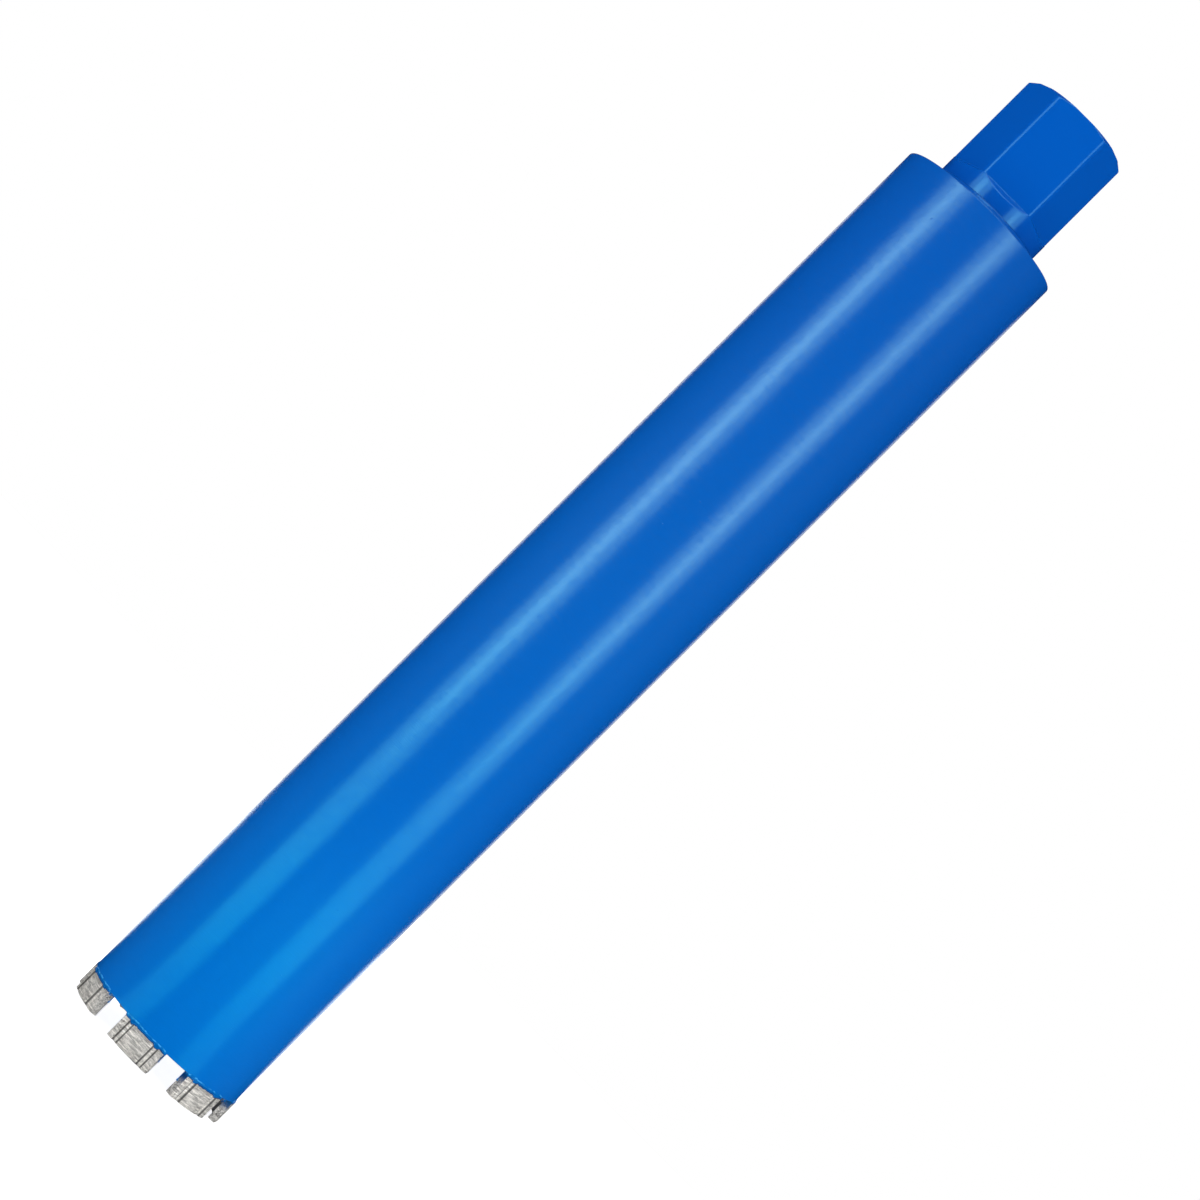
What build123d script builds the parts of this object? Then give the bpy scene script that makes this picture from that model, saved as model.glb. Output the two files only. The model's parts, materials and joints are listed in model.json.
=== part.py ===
from build123d import *
import math
import os

# A wet diamond core bit for drilling concrete and stone.
# The axis is Z. The bit stands on its crown, with the segment tips at Z = 0 and the hub on top.
# One flat of the hub faces -Y. All sizes are in millimetres, all angles in degrees.

# Barrel: a steel tube that the core passes up into
barrel_diameter = 71.0
barrel_wall = 2.0
barrel_length = 419.0
barrel_rim_break = 0.2
barrel_shoulder_break = 0.5

# Crown: sintered segments with parallel ends, standing proud of the wall inside and out
segment_count = 7
segment_length = 20.0
segment_height = 10.0
segment_overhang_outside = 0.5
segment_overhang_inside = 0.5
segment_tip_chamfer = 0.25
crown_turn = -98.0

# Water grooves along each segment: a pair on the outer face and one on the inner face
outer_groove_offset = 6.2
outer_groove_width = 2.4
outer_groove_depth = 0.65
inner_groove_width = 2.6
inner_groove_depth = 0.6

# Braze: the film under each segment and the fillets that fill the steps beside the wall
braze_film = 0.2
braze_fillet_height = 1.2
braze_overflow = 0.4

# End plate: a turned ring that closes the barrel and carries the hub
plate_thickness = 8.0
plate_edge_break = 0.5
plate_clearance = 0.05

# Hub: hexagon with a female spindle thread, turned and milled from round bar
hub_stock_diameter = 46.8
hub_height = 51.0
hub_across_flats = 41.0
hub_flat_count = 6
hub_neck_length = 9.4
hub_flat_corner_radius = 1.6
hub_end_chamfer_width = 2.8
hub_end_chamfer_angle = 30.0
hub_spigot_diameter = 38.0
hub_spigot_clearance = 0.05
hub_spigot_chamfer = 0.8

# Bore of the hub: the tapped length at the thread's major diameter, then the drilled waterway
thread_major_diameter = 31.75
thread_depth = 40.0
thread_mouth_chamfer = 1.2
drilled_diameter = 27.9

# Welds
plate_weld_leg = 1.5
hub_weld_leg = 3.5

# How far a cutting body reaches past the surface that it cuts
cutter_margin = 1.0

# Radii and levels that follow from the sizes above
barrel_outer_radius = barrel_diameter / 2
barrel_inner_radius = barrel_outer_radius - barrel_wall
segment_outer_radius = barrel_outer_radius + segment_overhang_outside
segment_inner_radius = barrel_inner_radius - segment_overhang_inside
plate_radius = barrel_inner_radius - plate_clearance
hub_stock_radius = hub_stock_diameter / 2
hub_spigot_radius = hub_spigot_diameter / 2
thread_major_radius = thread_major_diameter / 2
drilled_radius = drilled_diameter / 2
rim_break = min(barrel_rim_break, barrel_wall / 4)
rim_level = segment_height + braze_film
shoulder_level = rim_level + barrel_length
plate_underside_level = shoulder_level - plate_thickness
hub_top_level = shoulder_level + hub_height


def groove_circle_radius(width: float, depth: float) -> float:
    """Radius of the circle that cuts a groove of this width and depth into a flat face."""
    return (width**2 / 4 + depth**2) / (2 * depth)


def turned_about_axis(section: Sketch) -> Part:
    """The ring or disc that a section in the XZ plane sweeps in one turn about Z."""
    return revolve(section, Axis.Z)


def barrel() -> Part:
    """The tube, with the edges of its rim and its outer edge at the hub end broken."""
    shoulder_break = min(barrel_shoulder_break, barrel_wall / 2)
    with BuildSketch(Plane.XZ) as section:
        with BuildLine():
            Polyline(
                (barrel_outer_radius, shoulder_level - shoulder_break),
                (barrel_outer_radius - shoulder_break, shoulder_level),
                (barrel_inner_radius, shoulder_level),
                (barrel_inner_radius, rim_level + rim_break),
                (barrel_inner_radius + rim_break, rim_level),
                (barrel_outer_radius - rim_break, rim_level),
                (barrel_outer_radius, rim_level + rim_break),
                close=True,
            )
        make_face()
    return turned_about_axis(section.sketch)


def end_plate() -> Part:
    """The ring inside the barrel's hub end, bevelled for its weld and bored for the hub's spigot."""
    bore_radius = hub_spigot_radius + hub_spigot_clearance
    with BuildSketch(Plane.XZ) as section:
        with BuildLine():
            Polyline(
                (bore_radius, shoulder_level),
                (plate_radius - plate_weld_leg, shoulder_level),
                (plate_radius, shoulder_level - plate_weld_leg),
                (plate_radius, plate_underside_level + plate_edge_break),
                (plate_radius - plate_edge_break, plate_underside_level),
                (bore_radius, plate_underside_level),
                close=True,
            )
        make_face()
    return turned_about_axis(section.sketch)


def plate_weld() -> Part:
    """The seam that fills the bevel between the end plate and the barrel, turned off flush."""
    with BuildSketch(Plane.XZ) as section:
        with BuildLine():
            Polyline(
                (plate_radius - plate_weld_leg, shoulder_level),
                (plate_radius, shoulder_level - plate_weld_leg),
                (barrel_inner_radius, shoulder_level - plate_weld_leg),
                (barrel_inner_radius, shoulder_level),
                close=True,
            )
        make_face()
    return turned_about_axis(section.sketch)


def hub_weld() -> Part:
    """The fillet weld round the foot of the hub, with a flat face."""
    with BuildSketch(Plane.XZ) as section:
        with BuildLine():
            Polyline(
                (hub_stock_radius, shoulder_level),
                (hub_stock_radius + hub_weld_leg, shoulder_level),
                (hub_stock_radius, shoulder_level + hub_weld_leg),
                close=True,
            )
        make_face()
    return turned_about_axis(section.sketch)


def hub_turning() -> Part:
    """The hub before its flats are milled: body, end chamfer, spigot, waterway and tapped bore."""
    chamfer_height = hub_end_chamfer_width * math.tan(math.radians(hub_end_chamfer_angle))
    tapped_end_level = hub_top_level - thread_depth
    with BuildSketch(Plane.XZ) as section:
        with BuildLine():
            Polyline(
                (drilled_radius, plate_underside_level),
                (hub_spigot_radius - hub_spigot_chamfer, plate_underside_level),
                (hub_spigot_radius, plate_underside_level + hub_spigot_chamfer),
                (hub_spigot_radius, shoulder_level),
                (hub_stock_radius, shoulder_level),
                (hub_stock_radius, hub_top_level - chamfer_height),
                (hub_stock_radius - hub_end_chamfer_width, hub_top_level),
                (thread_major_radius + thread_mouth_chamfer, hub_top_level),
                (thread_major_radius, hub_top_level - thread_mouth_chamfer),
                (thread_major_radius, tapped_end_level),
                (drilled_radius, tapped_end_level - (thread_major_radius - drilled_radius)),
                close=True,
            )
        make_face()
    return turned_about_axis(section.sketch)


def flat_cutter() -> Part:
    """What the mill removes for the flat on the +X side, with its rounded run-out at the neck."""
    flat_distance = hub_across_flats / 2
    neck_level = shoulder_level + hub_neck_length
    reach = hub_stock_radius + cutter_margin
    top = hub_top_level + cutter_margin
    arc_start = (flat_distance, neck_level + hub_flat_corner_radius)
    arc_end = (flat_distance + hub_flat_corner_radius, neck_level)
    with BuildSketch(Plane.XZ) as section:
        with BuildLine():
            Polyline(arc_start, (flat_distance, top), (reach, top), (reach, neck_level), arc_end)
            RadiusArc(arc_end, arc_start, hub_flat_corner_radius)
        make_face()
    return extrude(section.sketch, amount=hub_stock_radius, both=True)


def hub() -> Part:
    """The hub with its flats milled, one of them facing -Y."""
    body = hub_turning()
    for index in range(hub_flat_count):
        turn = -90 + index * 360 / hub_flat_count
        body -= Rot(0, 0, turn) * flat_cutter()
    return body


def segment() -> Part:
    """One segment on the +Y side of the crown, with its tip at Z = 0."""
    outer_circle = groove_circle_radius(outer_groove_width, outer_groove_depth)
    inner_circle = groove_circle_radius(inner_groove_width, inner_groove_depth)
    outer_distance = segment_outer_radius + outer_circle - outer_groove_depth
    inner_distance = segment_inner_radius - inner_circle + inner_groove_depth
    groove_angle = math.degrees(math.asin(outer_groove_offset / segment_outer_radius))
    with BuildPart() as body:
        with BuildSketch():
            Circle(segment_outer_radius)
            Circle(segment_inner_radius, mode=Mode.SUBTRACT)
            Rectangle(
                segment_length,
                segment_outer_radius,
                align=(Align.CENTER, Align.MIN),
                mode=Mode.INTERSECT,
            )
            with Locations(Rot(0, 0, groove_angle), Rot(0, 0, -groove_angle)):
                with Locations((0, outer_distance)):
                    Circle(outer_circle, mode=Mode.SUBTRACT)
            with Locations((0, inner_distance)):
                Circle(inner_circle, mode=Mode.SUBTRACT)
        extrude(amount=segment_height)
        chamfer(body.edges().group_by(Axis.Z)[0], segment_tip_chamfer)
    return body.part


def braze_joint() -> Part:
    """The braze of one segment on the +Y side: film, inner and outer fillet, and its overflow."""
    fillet_level = rim_level + braze_fillet_height
    with BuildSketch(Plane.XZ) as section:
        with BuildLine():
            Polyline(
                (segment_outer_radius, segment_height),
                (barrel_outer_radius, fillet_level),
                (barrel_outer_radius, rim_level + rim_break),
                (barrel_outer_radius - rim_break, rim_level),
                (barrel_inner_radius + rim_break, rim_level),
                (barrel_inner_radius, rim_level + rim_break),
                (barrel_inner_radius, fillet_level),
                (segment_inner_radius, segment_height),
                close=True,
            )
        make_face()
    sector = Box(
        segment_length + 2 * braze_overflow,
        segment_outer_radius,
        fillet_level,
        align=(Align.CENTER, Align.MIN, Align.MIN),
    )
    return turned_about_axis(section.sketch) & sector


def round_the_crown(shape: Part, index: int) -> Part:
    """The shape from the +Y side, turned to the place of the segment with this index."""
    return Rot(0, 0, crown_turn - 90 + index * 360 / segment_count) * shape


def write_parts() -> None:
    """Build every piece of the bit and write each to its own file."""
    pieces = {
        "barrel": barrel(),
        "end_plate": end_plate(),
        "plate_weld": plate_weld(),
        "hub": hub(),
        "hub_weld": hub_weld(),
    }
    one_segment = segment()
    one_joint = braze_joint()
    for index in range(segment_count):
        pieces[f"segment_{index + 1}"] = round_the_crown(one_segment, index)
        pieces[f"braze_{index + 1}"] = round_the_crown(one_joint, index)
    os.makedirs("parts", exist_ok=True)
    for name, shape in pieces.items():
        export_step(shape, f"parts/{name}.step")


write_parts()
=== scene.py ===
"""Looks of a wet diamond core bit: a painted steel tube, a hexagonal spindle hub and a sintered crown.

The bit stands on its crown with its axis on Z, in metres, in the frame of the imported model. Each
sub-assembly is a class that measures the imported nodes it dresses, builds its pieces and finishes them.
"""

import json
import logging
import math
import random
from dataclasses import dataclass
from enum import Enum
from functools import partial
from typing import Callable, Sequence

import bmesh
import bpy
from bpy.types import ID, Material, Node, NodeSocket, NodeTree, Object
from mathutils import Matrix, Vector


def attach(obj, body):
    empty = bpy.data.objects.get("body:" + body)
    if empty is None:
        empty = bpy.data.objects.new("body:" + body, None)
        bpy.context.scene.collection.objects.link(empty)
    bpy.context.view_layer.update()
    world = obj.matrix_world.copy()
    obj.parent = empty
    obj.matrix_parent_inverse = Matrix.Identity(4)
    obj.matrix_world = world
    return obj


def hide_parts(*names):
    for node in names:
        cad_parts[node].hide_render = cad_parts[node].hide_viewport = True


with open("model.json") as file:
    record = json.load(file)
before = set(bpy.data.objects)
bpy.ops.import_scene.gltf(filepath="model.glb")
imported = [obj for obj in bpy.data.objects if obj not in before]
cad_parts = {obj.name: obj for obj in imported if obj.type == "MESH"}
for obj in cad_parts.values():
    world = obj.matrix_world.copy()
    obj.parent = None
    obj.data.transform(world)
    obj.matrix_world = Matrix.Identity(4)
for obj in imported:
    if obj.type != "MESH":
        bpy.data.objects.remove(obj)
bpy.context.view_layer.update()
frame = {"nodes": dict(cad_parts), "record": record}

MM = 0.001
BODY = "root"
WATTS_PER_RADIANCE = 4.0
WHITE = (1.0, 1.0, 1.0, 1.0)
LOG = logging.getLogger("core_bit")

# Kinds of node and settings that many trees share.
MATH = "ShaderNodeMath"
VECTOR_MATH = "ShaderNodeVectorMath"
MAP_RANGE = "ShaderNodeMapRange"
MIX = "ShaderNodeMix"
NOISE = "ShaderNodeTexNoise"
CELLS = "ShaderNodeTexVoronoi"
SPLIT = "ShaderNodeSeparateXYZ"
OUTPUT = "ShaderNodeOutputMaterial"
SMOOTH = {"interpolation_type": "SMOOTHSTEP"}
RGBA = {"data_type": "RGBA"}
FLOAT = {"data_type": "FLOAT"}
FOUR_D = {"noise_dimensions": "4D"}
ADD = {"operation": "ADD"}
SUBTRACT = {"operation": "SUBTRACT"}
MULTIPLY = {"operation": "MULTIPLY"}
MULTIPLY_ADD = {"operation": "MULTIPLY_ADD"}
MAXIMUM = {"operation": "MAXIMUM"}
SCALE = {"operation": "SCALE"}

# The values between which nearly all of a noise lies.
NOISE_LOW = 0.3
NOISE_HIGH = 0.7

Colour = tuple[float, float, float, float]
Point = tuple[float, float, float]
Ring = list[tuple[float, float]]
Source = Node | NodeSocket
Adder = Callable[..., Node]


class Slot(Enum):
    """The record's material slots."""

    BARREL_PAINT = "barrel_paint"
    HUB_PAINT = "hub_paint"
    SEGMENT = "sintered_segment"
    BRAZE = "painted_braze"


def linear(hex_colour: str) -> Colour:
    """Turn an sRGB hex colour into the linear colour that shaders take.

    Args:
        hex_colour: Six hex digits after a hash.

    Returns:
        Red, green, blue and an alpha of one.
    """
    channels = [int(hex_colour[place:place + 2], 16) / 255 for place in (1, 3, 5)]
    red, green, blue = [
        value / 12.92 if value <= 0.04045 else ((value + 0.055) / 1.055) ** 2.4 for value in channels
    ]
    return red, green, blue, 1.0


def add_node(
    tree: NodeTree,
    kind: str,
    settings: dict[str, object] | None = None,
    *values: object,
    **named: object,
) -> Node:
    """Add one node to a tree, set its properties and fill or link its sockets.

    Args:
        tree: The node tree that gets the node.
        kind: The node's type.
        settings: Properties of the node.
        values: What goes into its first inputs in use: a value, a socket, or a node's first output.
        named: The same by the input's name, with underscores for its spaces.

    Returns:
        The new node.
    """
    node = tree.nodes.new(kind)
    for name, value in (settings or {}).items():
        setattr(node, name, value)
    filled = list(zip((socket for socket in node.inputs if socket.enabled), values))
    filled += [(node.inputs[name.replace("_", " ")], value) for name, value in named.items()]
    for socket, value in filled:
        if isinstance(value, Node):
            value = next(output for output in value.outputs if output.enabled)
        if isinstance(value, NodeSocket):
            tree.links.new(value, socket)
        else:
            socket.default_value = value
    return node


def new_material(name: str) -> tuple[Material, Adder]:
    """Make an empty node material.

    Args:
        name: The finish's name.

    Returns:
        The material and the function that adds a node to it.
    """
    material = bpy.data.materials.new(name)
    material.use_nodes = True
    material.node_tree.nodes.clear()
    return material, partial(add_node, material.node_tree)


def placed(name: str, data: ID) -> Object:
    """Put a mesh, a camera or a lamp into the scene.

    Args:
        name: The new object's name.
        data: What the object shows.

    Returns:
        The new object.
    """
    piece = bpy.data.objects.new(name, data)
    bpy.context.scene.collection.objects.link(piece)
    return piece


def marked_piece(
    name: str,
    vertices: Sequence[Point],
    faces: Sequence[Sequence[int]],
    marks: dict[str, Sequence[float] | Sequence[Point]],
) -> Object:
    """Build a mesh whose vertices carry values that a tree or a material reads.

    Args:
        name: The new object's name.
        vertices: Its vertices.
        faces: Its faces, if it has any.
        marks: By name one number or one vector for each vertex.

    Returns:
        The new object.
    """
    mesh = bpy.data.meshes.new(name)
    mesh.from_pydata(vertices, [], faces)
    for mark, values in marks.items():
        kind, field = ("FLOAT_VECTOR", "vector") if isinstance(values[0], tuple) else ("FLOAT", "value")
        attribute = mesh.attributes.new(mark, kind, "POINT")
        for item, value in zip(attribute.data, values):
            setattr(item, field, value)
    return placed(name, mesh)


@dataclass(frozen=True)
class Span:
    """How far a turned node reaches from the axis and along it."""

    inner: float
    outer: float
    bottom: float
    top: float

    @classmethod
    def of(cls, node: str) -> "Span":
        """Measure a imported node.

        Args:
            node: The node's name.

        Returns:
            Its least and greatest radius and height.
        """
        points = [vertex.co for vertex in frame["nodes"][node].data.vertices]
        radii = [math.hypot(point.x, point.y) for point in points]
        heights = [point.z for point in points]
        return cls(min(radii), max(radii), min(heights), max(heights))


@dataclass(frozen=True)
class Corner:
    """A corner of a turned section, with the radius that rounds it."""

    radius: float
    height: float
    rounding: float = 0.0


def rounded_section(corners: Sequence[Corner], steps: int = 5, support: float = 0.25) -> Ring:
    """Round the corners of a closed section, with a support point beside each arc.

    Args:
        corners: The section's corners in order.
        steps: How many chords each arc has.
        support: How far past the arc its support points lie, as a share of its radius.

    Returns:
        The section's points, as radius and height.
    """
    points: Ring = []
    places = [Vector((corner.radius, corner.height)) for corner in corners]
    for index, (corner, here) in enumerate(zip(corners, places)):
        if corner.rounding == 0:
            points.append((here.x, here.y))
            continue
        back = (places[index - 1] - here).normalized()
        ahead = (places[(index + 1) % len(places)] - here).normalized()
        half_turn = back.angle(ahead) / 2
        reach = corner.rounding / math.tan(half_turn)
        centre = here + (back + ahead).normalized() * corner.rounding / math.sin(half_turn)
        start = here + back * reach
        end = here + ahead * reach
        points.append(tuple(start + back * corner.rounding * support))
        sweep = (start - centre).angle_signed(end - centre)
        for step in range(steps + 1):
            arm = start - centre
            arm.rotate(Matrix.Rotation(-sweep * step / steps, 2))
            points.append(tuple(centre + arm))
        points.append(tuple(end + ahead * corner.rounding * support))
    return points


def ring_mesh(name: str, rows: Sequence[Ring], angles: Sequence[float]) -> Object:
    """Build a closed ring from rows of points that run round the axis.

    Args:
        name: The new object's name.
        rows: For each row its radius and height at every angle. The last row joins the first.
        angles: The columns' angles about the axis.

    Returns:
        A smooth-shaded object with its place in its mesh.
    """
    columns = len(angles)
    turns = [(math.cos(angle), math.sin(angle)) for angle in angles]
    vertices = [
        (radius * across, radius * aside, height)
        for row in rows
        for (radius, height), (across, aside) in zip(row, turns)
    ]
    faces = []
    for row in range(len(rows)):
        here, above = row * columns, (row + 1) % len(rows) * columns
        for column in range(columns):
            beside = (column + 1) % columns
            faces.append((here + column, here + beside, above + beside, above + column))
    mesh = bpy.data.meshes.new(name)
    mesh.from_pydata(vertices, [], faces)
    draft = bmesh.new()
    draft.from_mesh(mesh)
    bmesh.ops.remove_doubles(draft, verts=draft.verts, dist=MM / 10000)
    bmesh.ops.recalc_face_normals(draft, faces=draft.faces)
    draft.to_mesh(mesh)
    draft.free()
    mesh.shade_smooth()
    return placed(name, mesh)


def even_angles(columns: int) -> list[float]:
    """Angles that divide the circle evenly."""
    return [2 * math.pi * column / columns for column in range(columns)]


def turned_piece(name: str, section: Ring, columns: int = 288) -> Object:
    """Turn a closed section about the axis.

    Args:
        name: The new object's name.
        section: The section's points, as radius and height.
        columns: How many faces the circle has.

    Returns:
        The turned object.
    """
    return ring_mesh(name, [[point] * columns for point in section], even_angles(columns))


@dataclass
class Recipe:
    """A Geometry Nodes tree with named inputs, which turns one object into a plain mesh."""

    name: str

    def __post_init__(self) -> None:
        """Make the tree with its geometry sockets."""
        self.tree = bpy.data.node_groups.new(self.name, "GeometryNodeTree")
        for way in ("INPUT", "OUTPUT"):
            self.tree.interface.new_socket("Geometry", in_out=way, socket_type="NodeSocketGeometry")
        self.start = self.tree.nodes.new("NodeGroupInput")
        self.add: Adder = partial(add_node, self.tree)
        self.identifiers: dict[str, str] = {}

    def sizes(self, *names: str, kind: str = "NodeSocketFloat") -> list[NodeSocket]:
        """Add named inputs.

        Args:
            names: What the inputs are called.
            kind: Their socket type.

        Returns:
            The sockets that carry the inputs inside the tree.
        """
        for name in names:
            item = self.tree.interface.new_socket(name, in_out="INPUT", socket_type=kind)
            self.identifiers[name] = item.identifier
        return [self.start.outputs[name] for name in names]

    def end(self, geometry: Source, smooth: bool = True) -> None:
        """Close the tree with its shading, real instances and material.

        Args:
            geometry: The finished geometry.
            smooth: Whether its faces are shaded smooth.
        """
        [finish] = self.sizes("Finish", kind="NodeSocketMaterial")
        shaded = self.add("GeometryNodeSetShadeSmooth", {}, geometry, Shade_Smooth=smooth)
        real = self.add("GeometryNodeRealizeInstances", {}, shaded)
        dressed = self.add("GeometryNodeSetMaterial", {}, real, Material=finish)
        self.add("NodeGroupOutput", {}, dressed)

    def cook(
        self, name: str, source: Object, sizes: dict[str, object], keep: bool = False
    ) -> Object:
        """Run the tree on an object and keep the result as a plain mesh.

        Args:
            name: The new object's name.
            source: The object that the tree starts from.
            sizes: A value for each named input.
            keep: Whether the source stays in the scene.

        Returns:
            The new object.
        """
        modifier = source.modifiers.new(self.name, "NODES")
        modifier.node_group = self.tree
        for key, value in sizes.items():
            modifier[self.identifiers[key]] = value
        bpy.context.view_layer.update()
        graph = bpy.context.evaluated_depsgraph_get()
        mesh = bpy.data.meshes.new_from_object(source.evaluated_get(graph), depsgraph=graph)
        mesh.name = name
        source.modifiers.remove(modifier)
        if not keep:
            bpy.data.objects.remove(source)
        return placed(name, mesh)


def mount(piece: Object, slot: Slot, *nodes: str) -> None:
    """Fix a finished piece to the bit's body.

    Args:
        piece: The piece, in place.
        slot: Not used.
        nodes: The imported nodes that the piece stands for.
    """
    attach(piece, BODY)
    if nodes:
        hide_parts(*nodes)
    LOG.info("%s: %d faces", piece.name, len(piece.data.polygons))


@dataclass(frozen=True)
class SprayedEnamel:
    """Blue enamel sprayed over turned steel. Lengths are in millimetres.

    It is thin enough that the circumferential turning lines still show in the highlights, with a
    slight orange peel. Its colour is painted lighter and greener towards the crown and darker towards
    the hub, as painted light for the stronger light that falls on the crown end. The real lines are
    finer than a pixel of the render, so they are drawn as coarse as they need to show.
    """

    name: str = "sprayed blue enamel"
    crown_colour: str = "#016dcc"
    middle_colour: str = "#0162c3"
    hub_colour: str = "#005dc3"
    rim_colour: str = "#5d7f8b"
    roughness: float = 0.21
    roughness_spread: float = 0.05
    line_length: float = 4.5
    line_pitch: float = 0.4
    peel_size: float = 2.2
    relief: float = 0.07
    peel_share: float = 0.3
    sheen_red: float = 0.46
    sheen_green: float = 1.0
    sheen_blue: float = 0.98
    streak_level: float = 0.62
    rim_level: float = 10.2
    top_level: float = 429.2
    middle_share: float = 0.45

    def material(self) -> Material:
        """Build the enamel with its turning lines, and the bare strip on the tube's rim.

        Returns:
            The material.
        """
        material, add = new_material(self.name)
        place = add("ShaderNodeTexCoord").outputs["Object"]
        height = add(SPLIT, {}, place).outputs["Z"]
        top = self.top_level * MM
        middle = top * self.middle_share
        # Painted light: the colour grows darker from the crown towards the hub, standing in for the light
        # that falls more strongly on the crown end.
        colour = linear(self.crown_colour)
        for start, end, shade in ((0.0, middle, self.middle_colour), (middle, top, self.hub_colour)):
            colour = add(MIX, RGBA, add(MAP_RANGE, SMOOTH, height, start, end), colour, linear(shade))
        rim_ends = [(self.rim_level + rise) * MM for rise in (0.04, 0.16)]
        bare = add(MAP_RANGE, {}, height, *rim_ends, 1.0, 0.0)
        colour = add(MIX, RGBA, bare, colour, linear(self.rim_colour))
        along, across = (1 / (size * MM) for size in (self.line_length, self.line_pitch))
        lines_at = add(VECTOR_MATH, MULTIPLY, place, (along, along, across))
        lines = add(NOISE, {}, lines_at, 1.0, 2.0, 0.6)
        spread = self.roughness_spread / 2
        gloss = add(MAP_RANGE, {}, lines, 0.35, 0.65, self.roughness - spread, self.roughness + spread)
        peel = add(NOISE, {}, place, 1 / (self.peel_size * MM), 1.0)
        relief = add(MATH, MULTIPLY_ADD, peel, self.peel_share, lines)
        bump = add("ShaderNodeBump", Strength=0.5, Distance=self.relief * MM, Height=relief)
        red = add(MAP_RANGE, SMOOTH, height, 0.04, 0.3, 0.04, self.sheen_red)
        full_tint = add("ShaderNodeCombineColor", {}, red, self.sheen_green, self.sheen_blue)
        streak = add(MAP_RANGE, {}, lines, 0.35, 0.62, self.streak_level, 1.0)
        tint = add(VECTOR_MATH, SCALE, full_tint, streak)
        add(OUTPUT, {}, add(
            "ShaderNodeBsdfPrincipled", {}, colour,
            Roughness=gloss, Specular_IOR_Level=1.0, Specular_Tint=tint, Normal=bump,
        ))
        return material


@dataclass
class Barrel:
    """The tube, its end plate and the seam between them. Lengths are in millimetres."""

    edge_rounding: float = 0.4
    rim_rounding: float = 0.25
    plate_rounding: float = 0.4
    seam_dip: float = 0.12
    seam_steps: int = 8
    nib_density: float = 2300.0
    nib_radius: float = 0.26
    nib_height: float = 0.36

    def build(self, finish: Material) -> None:
        """Turn the tube, the plate and the seam, and dress them.

        Args:
            finish: The enamel.
        """
        names = {"barrel": "barrel_tube", "end_plate": "end_ring", "plate_weld": "end_seam"}
        tube, plate, seam = (Span.of(node) for node in names)
        for node, section in self.sections(tube, plate, seam).items():
            piece = turned_piece(names[node], section)
            piece.data.materials.append(finish)
            if node == "barrel":
                mount(self.spray_nibs(piece, tube, finish), Slot.BARREL_PAINT)
            mount(piece, Slot.BARREL_PAINT, node)

    def spray_nibs(
        self, wall: Object, tube: Span, finish: Material
    ) -> Object:
        """Scatter the small domes where dust dried in the enamel, outside and inside.

        Args:
            wall: The turned tube.
            tube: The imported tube's reach.
            finish: The enamel.

        Returns:
            The domes.
        """
        recipe = Recipe("spray nibs")
        add = recipe.add
        density, radius, height, lowest, highest = recipe.sizes(
            "Density", "Radius", "Height share", "Lowest level", "Highest level"
        )
        level = add(SPLIT, {}, add("GeometryNodeInputPosition")).outputs["Z"]
        above = add("FunctionNodeCompare", {"operation": "GREATER_THAN"}, level, lowest)
        below = add("FunctionNodeCompare", {"operation": "LESS_THAN"}, level, highest)
        middle = add("FunctionNodeBooleanMath", {"operation": "AND"}, above, below)
        points = add(
            "GeometryNodeDistributePointsOnFaces", {"distribute_method": "RANDOM"}, recipe.start,
            Density=density, Seed=11,
        )
        dome = add("GeometryNodeMeshUVSphere", {}, 12, 6, 1.0)
        spread = add("FunctionNodeRandomValue", FLOAT, 0.35, 1.25, Seed=4)
        width = add(MATH, MULTIPLY, spread, radius)
        rise = add(MATH, MULTIPLY, width, height)
        scale = add("ShaderNodeCombineXYZ", {}, width, width, rise)
        kept = add(
            "GeometryNodeInstanceOnPoints", {}, points, middle, dome,
            Rotation=points.outputs["Rotation"], Scale=scale,
        )
        recipe.end(kept)
        return recipe.cook("spray_nibs", wall, {
            "Density": self.nib_density,
            "Radius": self.nib_radius * MM,
            "Height share": self.nib_height,
            "Lowest level": tube.bottom + MM,
            "Highest level": tube.top - 2 * MM,
            "Finish": finish,
        }, keep=True)

    def sections(self, tube: Span, plate: Span, seam: Span) -> dict[str, Ring]:
        """Draw the wall with its broken edges, the bevelled plate, and the seam with a shallow hollow.

        Args:
            tube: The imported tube's reach.
            plate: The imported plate's reach.
            seam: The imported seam's reach.

        Returns:
            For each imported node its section's points.
        """
        width = tube.inner - seam.inner
        shares = [step / self.seam_steps for step in range(self.seam_steps + 1)]
        dips = [self.seam_dip * MM * math.sin(math.pi * share) for share in shares]
        return {
            "barrel": rounded_section([
                Corner(tube.outer, tube.top, self.edge_rounding * MM),
                Corner(tube.inner, tube.top),
                Corner(tube.inner, tube.bottom, self.rim_rounding * MM),
                Corner(tube.outer, tube.bottom, self.rim_rounding * MM),
            ]),
            "end_plate": rounded_section([
                Corner(plate.inner, plate.top),
                Corner(seam.inner, plate.top),
                Corner(plate.outer, seam.bottom),
                Corner(plate.outer, plate.bottom, self.plate_rounding * MM),
                Corner(plate.inner, plate.bottom),
            ]),
            "plate_weld": [
                *((seam.inner + width * share, seam.top - dip) for share, dip in zip(shares, dips)),
                (tube.inner, seam.bottom),
                (tube.inner - width * 0.02, seam.bottom),
            ],
        }


def soft_least(first: float, second: float, softness: float) -> float:
    """The lesser of two lengths, rounded over where they are close.

    Args:
        first: One length.
        second: The other.
        softness: How close they are where the rounding starts.

    Returns:
        The rounded least length.
    """
    near = max(softness - abs(first - second), 0) / softness
    return min(first, second) - near * near * softness / 4


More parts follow.
